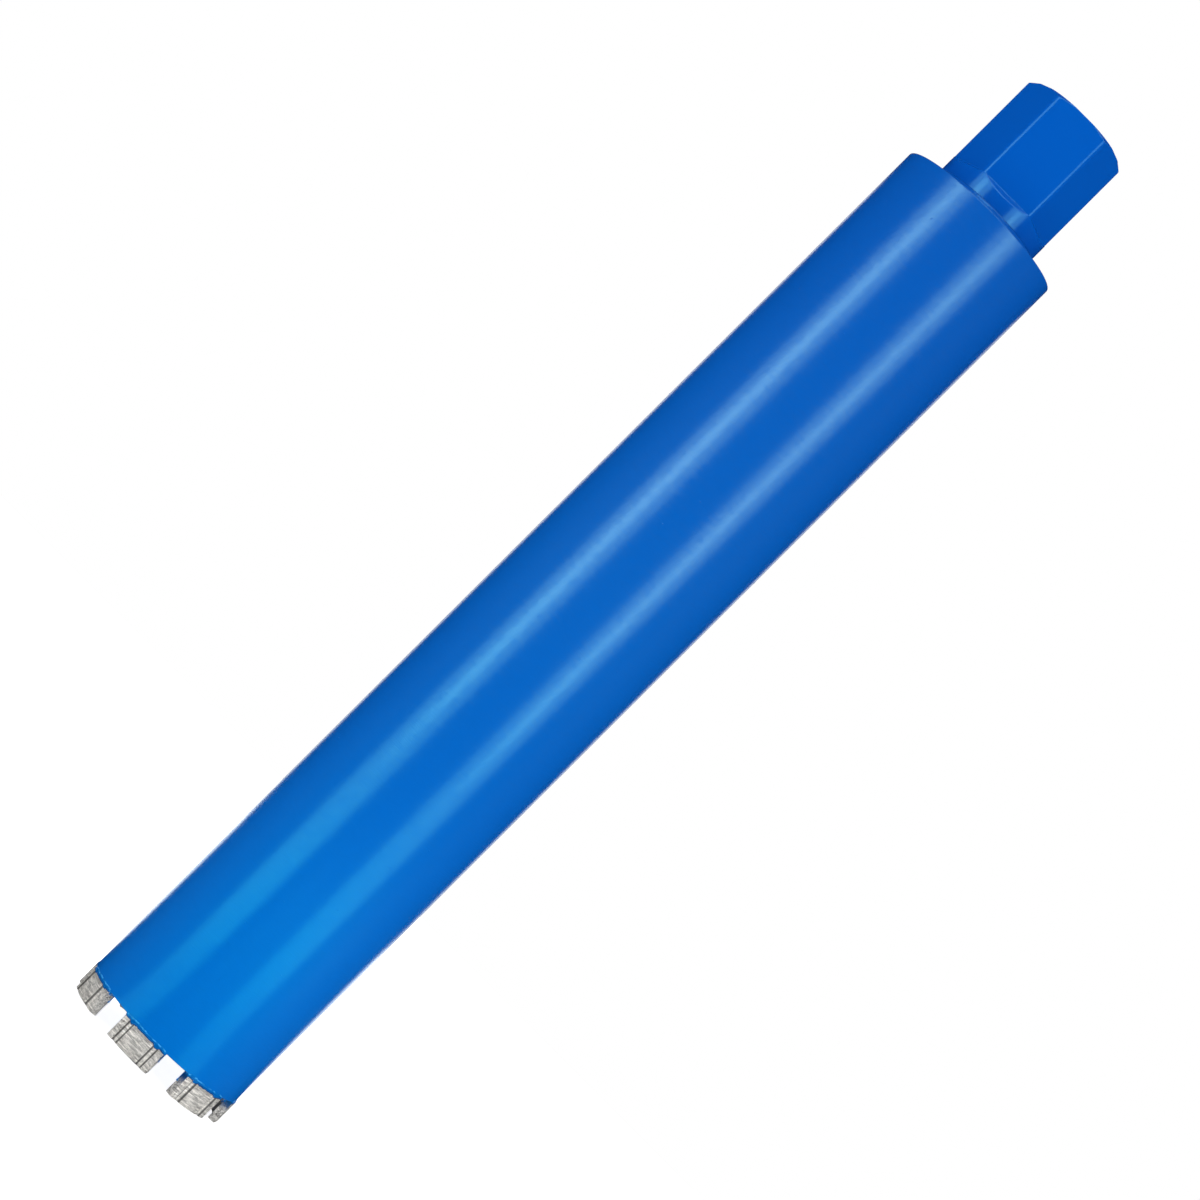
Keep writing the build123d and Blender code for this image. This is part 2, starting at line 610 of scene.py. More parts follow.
@dataclass
class Hub:
    """The hexagonal hub with its tapped bore, and the weld round its foot. Lengths are in millimetres."""

    across_flats: float = 41.0
    flat_count: int = 6
    neck_length: float = 8.7
    run_out_height: float = 2.3
    run_out_depth: float = 3.0
    run_out_steps: int = 12
    ridge_recess: float = 0.1
    chamfer_width: float = 2.8
    chamfer_angle: float = 30.0
    chamfer_steps: int = 20
    edge_softness: float = 0.22
    edge_steps: int = 4
    mouth_chamfer: float = 1.2
    tapped_length: float = 40.0
    spigot_chamfer: float = 0.8
    ridge_step: float = 0.5
    ridge_reach: float = 5.0
    flat_step: float = 1.5625
    thread_pitch: float = 25.4 / 7
    thread_crest: float = 0.125
    thread_root: float = 0.4375
    thread_depth: float = 1.965
    thread_foot: float = 0.15
    thread_run_out: float = 0.04
    weld_hollow: float = 0.75
    weld_ripple: float = 0.05
    weld_ripples: int = 96
    weld_steps: int = 10
    weld_slant: float = 0.7071

    def build(self, finish: Material, steel: Material) -> None:
        """Mill the hub, lay its weld and cut its thread.

        Args:
            finish: The enamel on the outside.
            steel: The bare steel of the thread.
        """
        self.body = Span.of("hub")
        for piece, node in ((self.milled_body(), "hub"), (self.foot_weld(), "hub_weld")):
            piece.data.materials.append(finish)
            mount(piece, Slot.HUB_PAINT, node)
        mount(self.spindle_thread(steel), Slot.HUB_PAINT)

    def columns(self) -> list[float]:
        """Divide the circle round the hub, closely at the ridges between its flats.

        Returns:
            The columns' angles.
        """
        sector = 2 * math.pi / self.flat_count
        half = math.degrees(sector) / 2
        near = int(self.ridge_reach / self.ridge_step)
        far = int(round((half - self.ridge_reach) / self.flat_step))
        offsets = [self.ridge_step * step for step in range(near)]
        offsets += [self.ridge_reach + self.flat_step * step for step in range(far)]
        turns = [-half + offset for offset in offsets]
        turns += [0.0] + [-turn for turn in reversed(turns)][:-1]
        return [
            -math.pi / 2 + sector * flat + math.radians(turn)
            for flat in range(self.flat_count)
            for turn in turns
        ]

    def flat_radius(self, angle: float, apothem: float) -> float:
        """How far the milled hexagon reaches at an angle, its ridges rounded down to the bar's skin.

        Args:
            angle: The angle about the axis.
            apothem: How far the flat lies from the axis.

        Returns:
            The radius.
        """
        sector = 2 * math.pi / self.flat_count
        half = sector / 2
        turn = abs((angle + math.pi / 2 + half) % sector - half)
        full = self.across_flats * MM / 2
        stretch = 1 / math.cos(half)
        rounding = (full * stretch - self.body.outer + self.ridge_recess * MM) / (stretch - 1)
        centre = (apothem - rounding) * stretch
        tangent = math.atan2((apothem - rounding) * math.tan(half), apothem)
        if turn <= tangent:
            return apothem / math.cos(turn)
        aside = half - turn
        return centre * math.cos(aside) + math.sqrt(rounding**2 - (centre * math.sin(aside)) ** 2)

    def milled_body(self) -> Object:
        """Loft the hub's skin through rings from its spigot to its mouth and down its bore.

        Returns:
            The hub without its thread.
        """
        angles = self.columns()
        rows: list[Ring] = []
        top, bottom, stock = self.body.top, self.body.bottom, self.body.outer
        shoulder, spigot = Span.of("end_plate").top, Span.of("end_plate").inner
        neck = shoulder + self.neck_length * MM
        full = self.across_flats * MM / 2
        softness = self.edge_softness * MM

        def even(*points: tuple[float, float]) -> None:
            """Add a round row for each radius and height."""
            rows.extend([point] * len(angles) for point in points)

        def milled(height: float, apothem: float, cone: float = math.inf) -> None:
            """Add a row where the flats, the bar's skin and the end chamfer's cone meet.

            Args:
                height: The row's height.
                apothem: How far the flats lie from the axis.
                cone: The chamfer's radius at this height.
            """
            reaches = (soft_least(self.flat_radius(angle, apothem), stock, softness) for angle in angles)
            rows.append([(soft_least(reach, cone, softness), height) for reach in reaches])

        even(
            (spigot - self.spigot_chamfer * MM, bottom),
            (spigot, bottom + self.spigot_chamfer * MM),
            (spigot, shoulder),
            (stock, shoulder),
            (stock, shoulder + softness),
            (stock, neck - softness),
        )
        for step in range(self.run_out_steps + 1):
            share = step / self.run_out_steps
            milled(neck + self.run_out_height * MM * share, full + self.run_out_depth * MM * (1 - share))
        chamfer_drop = self.chamfer_width * math.tan(math.radians(self.chamfer_angle)) * MM
        chamfer_start = top - chamfer_drop
        slope = self.chamfer_width * MM / chamfer_drop
        flat_top = chamfer_start - 2 * softness
        milled(neck + (self.run_out_height + 0.4) * MM, full)
        milled(flat_top - softness, full)
        for step in range(self.chamfer_steps + 1):
            height = flat_top + (top - softness - flat_top) * step / self.chamfer_steps
            milled(height, full, stock - (height - chamfer_start) * slope)
        last = rows[-1]
        for step in range(1, self.edge_steps + 1):
            turn = math.radians(90 * step / self.edge_steps)
            inset = softness * (1 - math.cos(turn))
            height = top - softness * (1 - math.sin(turn))
            rows.append([(radius - inset, height) for radius, _ in last])
        bore, wall = self.body.inner, self.thread_wall()
        tapped_end = top - self.tapped_length * MM
        even(
            (wall + (self.mouth_chamfer + 0.3) * MM, top),
            (wall + self.mouth_chamfer * MM, top),
            (wall, top - self.mouth_chamfer * MM),
            (wall, tapped_end),
            (bore, tapped_end - (wall - bore)),
            (bore, bottom),
        )
        return ring_mesh("hexagon_hub", rows, angles)

    def thread_wall(self) -> float:
        """The radius of the tapped bore, from the record's mount."""
        mounts = {item["name"]: item for item in frame["record"]["mounts"]}
        return mounts["hub_thread"]["dims"]["r_mm"] * MM

    def foot_weld(self) -> Object:
        """Lay the fillet weld round the hub's foot, with faint ripples from the torch.

        Returns:
            The weld.
        """
        weld = Span.of("hub_weld")
        angles = even_angles(self.weld_ripples * 6)
        leg = weld.outer - weld.inner
        rows: list[Ring] = [[(weld.inner, weld.bottom)] * len(angles)]
        chooser = random.Random(3)
        drift = [chooser.uniform(0, math.tau) for _ in range(3)]
        for step in range(self.weld_steps + 1):
            share = step / self.weld_steps
            swell = math.sin(math.pi * share)
            row: Ring = []
            for angle in angles:
                ripple = math.cos(angle * self.weld_ripples + 2.4 * swell + math.sin(angle * 3 + drift[0]))
                wander = 0.5 * math.sin(angle * 5 + drift[1]) + 0.5 * math.sin(angle * 11 + drift[2])
                hollow = self.weld_hollow + self.weld_ripple * (1 + ripple) + 0.05 * (1 + wander)
                lift = -MM * swell * hollow * self.weld_slant
                row.append((weld.outer - leg * share + lift, weld.bottom + leg * share + lift))
            rows.append(row)
        return ring_mesh("foot_weld", rows, angles)

    def spindle_thread(self, steel: Material) -> Object:
        """Wind the right-hand female thread's ridge down the bore.

        Args:
            steel: The bare steel.

        Returns:
            The ridge.
        """
        recipe = Recipe("wound thread")
        add = recipe.add
        radius, rise, turns, start, fade = recipe.sizes(
            "Wall radius", "Rise", "Turns", "Lowest level", "Run-out share"
        )
        spiral = add("GeometryNodeCurveSpiral", {}, 96, turns, radius, radius, rise, False)
        lift = add("ShaderNodeCombineXYZ", Z=start)
        lifted = add("GeometryNodeSetPosition", {}, spiral, Offset=lift)
        upright = add("GeometryNodeSetCurveNormal", {"mode": "Z_UP"}, lifted)
        along = add("GeometryNodeSplineParameter")
        rest = add(MATH, SUBTRACT, 1.0, along)
        run_outs = [add(MAP_RANGE, SMOOTH, way, 0.0, fade, 0.02, 1.0) for way in (along, rest)]
        sized = add("GeometryNodeSetCurveRadius", {}, upright, Radius=add(MATH, MULTIPLY, *run_outs))
        swept = add("GeometryNodeCurveToMesh", {}, sized, self.thread_profile(add), Fill_Caps=True)
        recipe.end(swept, smooth=False)
        holder = placed("thread_start", bpy.data.meshes.new("thread_start"))
        length = (self.tapped_length - self.mouth_chamfer) * MM - self.thread_pitch * MM
        return recipe.cook("spindle_thread", holder, {
            "Wall radius": self.thread_wall(),
            "Rise": length,
            "Turns": length / (self.thread_pitch * MM),
            "Lowest level": self.body.top - (self.tapped_length - self.thread_pitch / 2) * MM,
            "Run-out share": self.thread_run_out,
            "Finish": steel,
        })

    def thread_profile(self, add: Adder) -> Node:
        """The ridge's section: its foot in the wall, its flanks at 60 degrees and its crest.

        Args:
            add: The function that adds a node to the thread's tree.

        Returns:
            The node that draws the closed curve.
        """
        pitch = self.thread_pitch * MM
        foot, depth = self.thread_foot * MM, self.thread_depth * MM
        root, crest = self.thread_root * pitch, self.thread_crest * pitch / 2
        return add(
            "GeometryNodeCurvePrimitiveQuadrilateral", {"mode": "POINTS"},
            Point_1=(foot, root, 0.0), Point_2=(-depth, crest, 0.0),
            Point_3=(-depth, -crest, 0.0), Point_4=(foot, -root, 0.0),
        )


@dataclass(frozen=True)
class TurnedSteel:
    """Bare steel of the thread, cut by a tap and lightly oiled. Lengths are in millimetres.

    It is grey and bright on its flanks, with lines that run round the bore. The tap's real lines are
    finer than a pixel of the render, so they are drawn as coarse as they need to show.
    """

    name: str = "tapped steel"
    colour: str = "#d2d0cc"
    roughness: float = 0.36
    metallic: float = 0.8
    line_pitch: float = 0.25
    line_relief: float = 0.006
    lines_along: float = 120.0

    def material(self) -> Material:
        """Build the steel with its tool lines.

        Returns:
            The material.
        """
        material, add = new_material(self.name)
        place = add("ShaderNodeTexCoord").outputs["Object"]
        scale = (self.lines_along, self.lines_along, 1 / (self.line_pitch * MM))
        lines = add(NOISE, {}, add(VECTOR_MATH, MULTIPLY, place, scale), 1.0, 3.0)
        bump = add("ShaderNodeBump", Strength=0.4, Distance=self.line_relief * MM, Height=lines)
        add(OUTPUT, {}, add(
            "ShaderNodeBsdfPrincipled", {}, linear(self.colour),
            Metallic=self.metallic, Roughness=self.roughness, Normal=bump,
        ))
        return material


def polar_angle(node: str) -> float:
    """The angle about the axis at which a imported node's middle lies."""
    points = [vertex.co for vertex in frame["nodes"][node].data.vertices]
    return math.atan2(sum(point.y for point in points), sum(point.x for point in points))


def turned_geometry(add: Adder, geometry: Source, turn: Source) -> Node:
    """Turn geometry about the bit's axis.

    Args:
        add: The function that adds a node to the tree.
        geometry: What is turned.
        turn: The angle in radians.

    Returns:
        The node that turns it.
    """
    return add("GeometryNodeTransform", Geometry=geometry, Rotation=add("ShaderNodeCombineXYZ", Z=turn))


@dataclass
class Crown:
    """The sintered segments on the tube's rim, and the brazed and painted joints behind them.

    Lengths are in millimetres. The real pits and grains of a segment are partly finer than a pixel of
    the render, so they are drawn as coarse as they need to show.
    """

    count: int = 7
    grid_step: float = 0.16
    outer_groove_offset: float = 6.2
    outer_groove_width: float = 2.4
    outer_groove_depth: float = 0.65
    inner_groove_width: float = 2.6
    inner_groove_depth: float = 0.6
    edge_break: float = 0.12
    chip_size: float = 1.5
    chip_depth: float = 0.42
    pit_size: float = 1.3
    pit_depth: float = 0.18
    grain_size: float = 0.7
    grain_depth: float = 0.06
    ball_step: float = 0.3
    voxel: float = 0.14
    sheet_edge: float = 6.3
    sheet_tilt: float = 1.5
    sheet_wander: float = 0.09
    sheet_waves: tuple[float, ...] = (6.3, 3.4, 2.1)

    def build(self, matrix: Material, enamel: Material) -> None:
        """Press, wear and braze every segment.

        Args:
            matrix: The finish of the segments.
            enamel: The paint that ran over the joints.
        """
        wear = self.wear_recipe()
        pool = self.pool_recipe()
        self.reach = Span.of("segment_1")
        self.tube = Span.of("barrel")
        self.length = self.measured_length()
        for number in range(1, self.count + 1):
            turn = polar_angle(f"segment_{number}")
            segment = wear.cook(f"worn_segment_{number}", self.pressed_shape(), {
                "Seed": number * 3.7,
                "Edge break": self.edge_break * MM,
                "Chip depth": self.chip_depth * MM,
                "Pit depth": self.pit_depth * MM,
                "Turn": turn,
                "Finish": matrix,
            })
            mount(segment, Slot.SEGMENT, f"segment_{number}")
            coat = pool.cook(f"brazed_joint_{number}", self.joint_balls(number), {
                "Voxel": self.voxel * MM,
                "Turn": turn,
                "Finish": enamel,
            })
            mount(coat, Slot.BRAZE, f"braze_{number}")

    def measured_length(self) -> float:
        """Measure a packed segment.

        Returns:
            The straight distance between its parallel ends.
        """
        turn = polar_angle("segment_1")
        across = [
            vertex.co.y * math.cos(turn) - vertex.co.x * math.sin(turn)
            for vertex in frame["nodes"]["segment_1"].data.vertices
        ]
        return max(across) - min(across)

    def groove(self, offset: float, width: float, depth: float) -> float:
        """How deep a groove with a round bottom lies at a distance from its middle.

        Args:
            offset: The distance from the groove's middle.
            width: The groove's full width.
            depth: Its greatest depth.

        Returns:
            The depth, in millimetres like the rest.
        """
        if abs(offset) >= width / 2:
            return 0.0
        round_radius = (width**2 / 4 + depth**2) / (2 * depth)
        return math.sqrt(round_radius**2 - offset**2) - (round_radius - depth)

    def pressed_shape(self) -> Object:
        """Build one unworn segment on the +X side as a fine closed grid that knows its own faces.

        Returns:
            The segment, with its place, its facing and the distance to its nearest edge as attributes.
        """
        inner, outer = self.reach.inner / MM, self.reach.outer / MM
        length, height = self.length / MM, self.reach.top / MM
        cells = [round(size / self.grid_step) for size in (outer - inner, length, height)]
        numbers: dict[tuple[int, ...], int] = {}
        faces: list[list[int]] = []
        for axis in range(3):
            first, second = (axis + 1) % 3, (axis + 2) % 3
            for side in (0, cells[axis]):
                for along in range(cells[first]):
                    for up in range(cells[second]):
                        face = []
                        for step, rise in ((0, 0), (1, 0), (1, 1), (0, 1)):
                            key = [0, 0, 0]
                            key[axis], key[first], key[second] = side, along + step, up + rise
                            face.append(numbers.setdefault(tuple(key), len(numbers)))
                        faces.append(face if side else face[::-1])
        vertices, places, facings, edges, dents = [], [], [], [], []
        for key in numbers:
            share = [key[axis] / cells[axis] for axis in range(3)]
            tangent = (share[1] - 0.5) * length
            level = share[2] * height
            bend = math.asin(tangent / outer) * outer
            dent = sum(
                self.groove(bend - middle, self.outer_groove_width, self.outer_groove_depth)
                for middle in (-self.outer_groove_offset, self.outer_groove_offset)
            )
            rise = self.groove(tangent, self.inner_groove_width, self.inner_groove_depth)
            least = math.sqrt((inner + rise) ** 2 - tangent**2)
            most = math.sqrt((outer - dent) ** 2 - tangent**2)
            across = (outer - inner) * share[0]
            vertices.append(((least + (most - least) * share[0]) * MM, tangent * MM, level * MM))
            places.append((tangent, inner + across, level))
            facings.append((
                (key[0] == cells[0]) - (key[0] == 0),
                float(key[1] in (0, cells[1])),
                (key[2] == cells[2]) - (key[2] == 0),
            ))
            walls = (across, (outer - inner) * (1 - share[0]), length / 2 - abs(tangent), level)
            edges.append(sorted(walls)[1] * MM)
            dents.append(dent / self.outer_groove_depth if key[0] == cells[0] else 0.0)
        return marked_piece("pressed_segment", vertices, faces, {
            "place": places, "facing": facings, "edge": edges, "dent": dents,
        })

    def wear_recipe(self) -> Recipe:
        """The rule that rounds, chips and pits a segment, always inward, and turns it to its place.

        Returns:
            The recipe, with a seed and three depths for each segment.
        """
        recipe = Recipe("worn segment")
        add = recipe.add
        seed, edge_break, chip_depth, pit_depth, turn = recipe.sizes(
            "Seed", "Edge break", "Chip depth", "Pit depth", "Turn"
        )
        place = add("GeometryNodeInputPosition")
        edge = add("GeometryNodeInputNamedAttribute", FLOAT, "edge")
        near_edge = add(MAP_RANGE, SMOOTH, edge, 0.0, add(MATH, MULTIPLY, edge_break, 2.5), 1.0, 0.0)
        flakes = add(NOISE, FOUR_D, place, seed, 1 / (self.chip_size * MM), 3.0, 0.6)
        flake = add(MAP_RANGE, SMOOTH, flakes, 0.54, 0.74)
        chip_zone = add(MAP_RANGE, SMOOTH, edge, 0.0, 1.0 * MM, 1.0, 0.0)
        chips = add(MATH, MULTIPLY, flake, chip_zone)
        pocks = add(CELLS, {"voronoi_dimensions": "4D"}, place, seed, 1 / (self.pit_size * MM))
        pits = add(MAP_RANGE, SMOOTH, pocks, 0.08, 0.26, 1.0, 0.0)
        grain = add(NOISE, FOUR_D, place, seed, 1 / (self.grain_size * MM), 2.0)
        depth = add(MATH, MULTIPLY, near_edge, edge_break)
        for amount, most in ((chips, chip_depth), (pits, pit_depth), (grain, self.grain_depth * MM)):
            depth = add(MATH, MULTIPLY_ADD, amount, most, depth)
        inward = add(MATH, MULTIPLY, depth, -1.0)
        shift = add(VECTOR_MATH, SCALE, add("GeometryNodeInputNormal"), inward)
        worn = add("GeometryNodeSetPosition", {}, recipe.start, Offset=shift)
        recipe.end(turned_geometry(add, worn, turn))
        return recipe

    def pool_recipe(self) -> Recipe:
        """The rule that melts a cloud of balls into one smooth coat and turns it to its place.

        Returns:
            The recipe, with the voxel's size and the turn.
        """
        recipe = Recipe("pooled coat")
        add = recipe.add
        voxel, turn = recipe.sizes("Voxel", "Turn")
        ball = add("GeometryNodeInputNamedAttribute", FLOAT, "ball")
        points = add("GeometryNodeMeshToPoints", {}, recipe.start, Radius=ball)
        by_voxel = {"resolution_mode": "VOXEL_SIZE"}
        cloud = add("GeometryNodePointsToVolume", by_voxel, points, 1.0, voxel, ball)
        skin = add("GeometryNodeVolumeToMesh", {"resolution_mode": "GRID"}, cloud, 0.2)
        place = add("GeometryNodeInputPosition")
        calm = add("GeometryNodeBlurAttribute", {"data_type": "FLOAT_VECTOR"}, place, 5)
        smooth = add("GeometryNodeSetPosition", {}, skin, Position=calm)
        recipe.end(turned_geometry(add, smooth, turn))
        return recipe

    def joint_balls(self, number: int) -> Object:
        """Scatter the balls of one joint: its beads, its run-down sheet inside and its corner lumps.

        Args:
            number: The segment's number, which seeds the scatter.

        Returns:
            A cloud of vertices on the +X side, each with its ball's radius.
        """
        chooser = random.Random(40 + number)
        pick = chooser.uniform
        inner, outer = self.reach.inner / MM, self.reach.outer / MM
        wall_inner, wall_outer = self.tube.inner / MM, self.tube.outer / MM
        half, level = self.length / MM / 2, self.reach.top / MM
        # Each ball is its distance from the axis, its place along the segment, its height and its radius.
        balls: list[tuple[float, float, float, float]] = []
        drop = balls.append
        tilt = pick(-self.sheet_tilt, self.sheet_tilt)
        bow = pick(0, self.sheet_tilt)
        waves = [
            (math.tau / period, pick(0, math.tau), period * self.sheet_wander)
            for period in self.sheet_waves
        ]
        steps = round(2 * half / self.ball_step)
        for step in range(steps + 1):
            share = 2 * step / steps - 1
            tangent = share * (half - 0.12)
            wander = sum(size * math.sin(tangent * pace + start) for pace, start, size in waves)
            edge = self.sheet_edge + tilt * share + bow * share**2 + wander
            edge = min(max(edge, level - 5), level - 0.8)
            height = edge
            # The sheet on the inner face, the lobes on its lower edge and the drops below it.
            while height < level + 0.2:
                drop((inner + 0.09, tangent, height, pick(0.26, 0.3)))
                height += self.ball_step * 0.85
            if chooser.random() < 0.3:
                lobe = pick(0.34, 0.56)
                drop((inner + 0.5 * lobe, tangent, edge + pick(-0.2, 0.6), lobe))
            if chooser.random() < 0.05:
                drop((inner + 0.08, tangent, edge - pick(0.6, 1.2), pick(0.22, 0.34)))
            # The fillets inside and outside the wall, single beads outside, and a core that joins them.
            drop((wall_inner - 0.12, tangent, level + 0.35, pick(0.36, 0.46)))
            drop((wall_inner - 0.02, tangent, level + 0.8, pick(0.2, 0.32)))
            drop((wall_outer - 0.1, tangent, level + 0.22, pick(0.3, 0.5)))
            if chooser.random() < 0.22:
                drop((wall_outer - 0.02, tangent, level + pick(0.1, 0.6), pick(0.36, 0.44)))
            if step % 2 == 0 and abs(tangent) < half - 0.9:
                drop((wall_outer - 0.52, tangent, level + pick(0.2, 0.55), pick(0.7, 0.86)))
        groove_middle = outer * math.sin(self.outer_groove_offset / outer)
        for side in (-1, 1):
            # The crust on the end, the spill on the rim, the corner's lumps and the groove's fill.
            end = side * (half - 0.02)
            for _ in range(26):
                drop((pick(inner + 0.4, outer - 0.45), end, level + pick(-0.7, 0.25), pick(0.16, 0.3)))
            end = side * (half + 0.22)
            for _ in range(12):
                drop((pick(wall_inner + 0.25, wall_outer - 0.25), end, level + 0.22, pick(0.22, 0.34)))
            for _ in range(5):
                corner = side * (half - pick(0.1, 0.9))
                drop((outer - 0.5, corner, level + pick(-0.3, 0.3), pick(0.4, 0.5)))
            for _ in range(12):
                across = pick(-0.9, 0.9)
                depth = outer - 0.52 - 0.25 * (1 - abs(across))
                drop((depth, side * groove_middle + across, level - pick(-0.1, 0.7), pick(0.24, 0.36)))
        places = [
            (math.sqrt(radius**2 - tangent**2) * MM, tangent * MM, height * MM)
            for radius, tangent, height, _ in balls
        ]
        return marked_piece("joint_balls", places, [], {"ball": [ball[3] * MM for ball in balls]})


@dataclass(frozen=True)
class SinteredMatrix:
    """Metal powder pressed and sintered round diamond grit, then ground on its outer face and its tip.

    The ground faces are pale with lines and dark pores, whose darkness is painted shade inside them.
    The inner face and the ends stay dark and granular, with single bright crystals painted near-white
    as painted glints, and overspray from the tube fades over the joint. Lengths are in millimetres.
    The real grinding lines, pores and crystals are finer than a pixel of the render, so they are
    drawn as coarse as they need to show.
    """

    name: str = "sintered diamond matrix"
    ground_colour: str = "#d3d0ca"
    inner_colour: str = "#666462"
    heat_colour: str = "#5e5047"
    end_colour: str = "#cfccc7"
    tip_colour: str = "#a19e99"
    pore_shade_colour: str = "#2f2d2b"
    crystal_glint_colour: str = "#f2f0ea"
    overspray_colour: str = "#016dc4"
    overspray_sheen: str = "#5ff0f5"
    overspray_roughness: float = 0.28
    metallic: float = 0.2
    roughness: float = 0.4
    relief: float = 0.05
    line_length: float = 7.0
    line_pitch: float = 0.3
    tip_line_angle: float = 32.0
    tip_line_length: float = 5.0
    tip_line_pitch: float = 0.38
    streak_length: float = 3.5
    streak_pitch: float = 0.9
    grain_size: float = 0.3
    tear: float = 0.9
    pore_size: float = 0.8
    crystal_size: float = 0.6
    paint_level: float = 9.45
    lip_shade_colour: str = "#0a3f7c"
    rag_size: float = 1.1
    drift_size: float = 14.0
    drift_reach: float = 2.5

    def material(self) -> Material:
        """Build the matrix from the segment's own place and facing.

        Returns:
            The material.
        """
        material, add = new_material(self.name)
        place, facing, dent, edge = (
            add("ShaderNodeAttribute", {"attribute_name": name}).outputs[output]
            for name, output in (("place", "Vector"), ("facing", "Vector"), ("dent", "Fac"), ("edge", "Fac"))
        )
        at, side = add(SPLIT, {}, place), add(SPLIT, {}, facing)
        world = add("ShaderNodeTexCoord").outputs["Object"]
        inside, at_tip = (
            add(MATH, {**MULTIPLY, "use_clamp": True}, side.outputs[axis], -1.0) for axis in "XZ"
        )
        lines_at = add(VECTOR_MATH, MULTIPLY, place, (1 / self.line_length, 1.0, 1 / self.line_pitch))
        lines = add(NOISE, {}, lines_at, 1.0, 3.0, 0.65)
        tip_angle = math.radians(self.tip_line_angle)
        turned = add("ShaderNodeVectorRotate", {"rotation_type": "Z_AXIS"}, place, Angle=tip_angle)
        cuts_scale = (1 / self.tip_line_pitch, 1 / self.tip_line_length, 1.0)
        cuts = add(NOISE, {}, add(VECTOR_MATH, MULTIPLY, turned, cuts_scale), 1.0, 2.0, 0.6)
        marks = add(MIX, FLOAT, at_tip, lines, cuts)
        grain = add(NOISE, {}, world, 1 / (self.grain_size * MM), 3.0, 0.7)
        heated = add(MAP_RANGE, SMOOTH, at.outputs["Z"], 4.5, 8.5, 0.0, 0.7)
        colour = linear(self.ground_colour)
        for share, layer in (
            (inside, self.inner_colour),
            (add(MATH, MULTIPLY, heated, inside), self.heat_colour),
            (side.outputs["Y"], self.end_colour),
            (at_tip, self.tip_colour),
        ):
            colour = add(MIX, RGBA, share, colour, linear(layer))
        tone = self.tone(add, marks, grain, (place, world, dent, edge))
        colour = add(VECTOR_MATH, SCALE, colour, tone)
        colour, pore = self.grit(add, colour, grain, at.outputs["X"], world)
        paint, level = self.overspray(add, at, side, dent, world)
        # Painted shade: a thin dark navy line along the lower edge of the overspray, under the thick paint's
        # edge.
        lip_shade = add(MAP_RANGE, SMOOTH, level, self.paint_level + 0.25, self.paint_level + 0.5)
        coat = add(MIX, RGBA, lip_shade, linear(self.lip_shade_colour), linear(self.overspray_colour))
        relief = add(MATH, MULTIPLY_ADD, marks, 1.6, grain)
        dug = add(MATH, MULTIPLY_ADD, pore, -1.4, relief)
        add(OUTPUT, {}, add(
            "ShaderNodeBsdfPrincipled", {}, add(MIX, RGBA, paint, colour, coat),
            Metallic=add(MAP_RANGE, {}, paint, 0.0, 1.0, self.metallic, 0.0),
            Roughness=add(MAP_RANGE, {}, paint, 0.0, 1.0, self.roughness, self.overspray_roughness),
            Specular_Tint=add(MIX, RGBA, paint, WHITE, linear(self.overspray_sheen)),
            Normal=add("ShaderNodeBump", Strength=0.8, Distance=self.relief * MM, Height=dug),
        ))
        return material

    def tone(self, add: Adder, marks: Source, grain: Source, places: Sequence[Source]) -> Node:
        """How light the metal is: its lines and scuffs, painted shade along the edges of its grooves and a
        painted highlight on their floors, and darker bands along its edges.

        Args:
            add: The function that adds a node to the material.
            marks: The grinding lines.
            grain: The fine grain.
            places: The place on the segment and on the bit, the groove's depth, and the nearest edge.

        Returns:
            The node that gives the factor on the colour.
        """
        place, world, dent, edge = places
        streaks_scale = (1 / self.streak_length, 1.0, 1 / self.streak_pitch)
        streaks_at = add(VECTOR_MATH, MULTIPLY_ADD, place, streaks_scale, world)
        streaks = add(NOISE, {}, streaks_at, 1.0, 3.0, 0.6, Distortion=0.6)
        scuff = add(MAP_RANGE, {}, streaks, 0.38, 0.6, 0.7, 1.34)
        shade = add(MAP_RANGE, {}, marks, NOISE_LOW, NOISE_HIGH, 0.4, 1.4)
        mottle = add(MAP_RANGE, {}, grain, NOISE_LOW, NOISE_HIGH, 0.62, 1.34)
        # Painted shade on the steep edges of the water grooves, and a painted highlight on their floors.
        foot = add(MAP_RANGE, SMOOTH, dent, 0.0, 0.12, 1.0, 0.2)
        floor = add(MAP_RANGE, SMOOTH, dent, 0.6, 1.0, 0.0, 1.15)
        # Darker within 0.3 mm of an edge.
        edge_darkening = add(MAP_RANGE, SMOOTH, edge, 0.0, 0.3 * MM, 0.55, 1.0)
        tone = shade
        for factor in (add(MATH, ADD, foot, floor), scuff, add(MATH, MULTIPLY, mottle, edge_darkening)):
            tone = add(MATH, MULTIPLY, tone, factor)
        return tone

